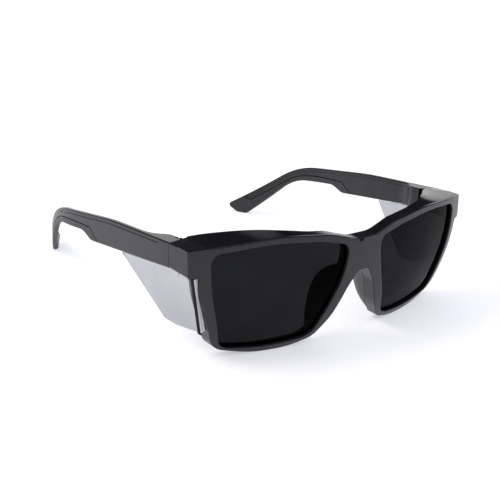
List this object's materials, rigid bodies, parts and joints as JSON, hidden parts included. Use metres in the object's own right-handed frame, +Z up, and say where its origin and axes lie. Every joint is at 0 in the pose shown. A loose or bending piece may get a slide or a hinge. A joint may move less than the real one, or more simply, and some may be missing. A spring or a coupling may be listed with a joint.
{
  "type": "safety glasses",
  "caption": "Full-rim safety glasses with dark curved lenses, a brow guard, clear side shields, soft nose pads and hinged temples with rubber grips.",
  "frame": {"origin": "middle of the footprint on the table: under the centre of the bounding box, on the plane that the rims and the temple tips stand on", "axes": "+X to the wearer's left, +Y from the lenses to the temple tips, +Z up from the table"},
  "size_m": [0.1464, 0.1603, 0.0506],
  "materials": {
    "front_plastic": "satin-gloss moulded nylon",
    "guard_plastic": "polished moulded nylon",
    "temple_plastic": "satin moulded nylon",
    "grip_rubber": "soft-touch rubber",
    "pad_rubber": "soft-touch rubber",
    "seal_rubber": "black elastomer",
    "smoke_lens": "polished smoke polycarbonate",
    "clear_shield": "polished clear polycarbonate",
    "hinge_steel": "stamped steel",
    "screw_steel": "turned steel"
  },
  "bodies": {
    "front": {"front_frame": "front_plastic", "brow_guard": "guard_plastic", "lens_left": "smoke_lens", "lens_right": "smoke_lens", "nose_pad_left": "pad_rubber", "nose_pad_right": "pad_rubber", "side_shield_left": "clear_shield", "side_shield_right": "clear_shield", "shield_seal_left": "seal_rubber", "shield_seal_right": "seal_rubber", "hinge_front_leaf_left": "hinge_steel", "hinge_front_leaf_right": "hinge_steel", "hinge_screw_left": "screw_steel", "hinge_screw_right": "screw_steel"},
    "left_temple": {"temple_left": "temple_plastic", "temple_grip_left": "grip_rubber", "hinge_temple_leaf_left": "hinge_steel"},
    "right_temple": {"temple_right": "temple_plastic", "temple_grip_right": "grip_rubber", "hinge_temple_leaf_right": "hinge_steel"}
  },
  "joints": [
    {"name": "left_temple_fold", "type": "hinge", "parent": "front", "child": "left_temple", "pos_m": [0.0674, -0.04894, 0.0402], "axis": [0, 0, 1], "range_deg": [0, 86]},
    {"name": "right_temple_fold", "type": "hinge", "parent": "front", "child": "right_temple", "pos_m": [-0.0674, -0.04894, 0.0402], "axis": [0, 0, 1], "range_deg": [-80, 0]}
  ]
}
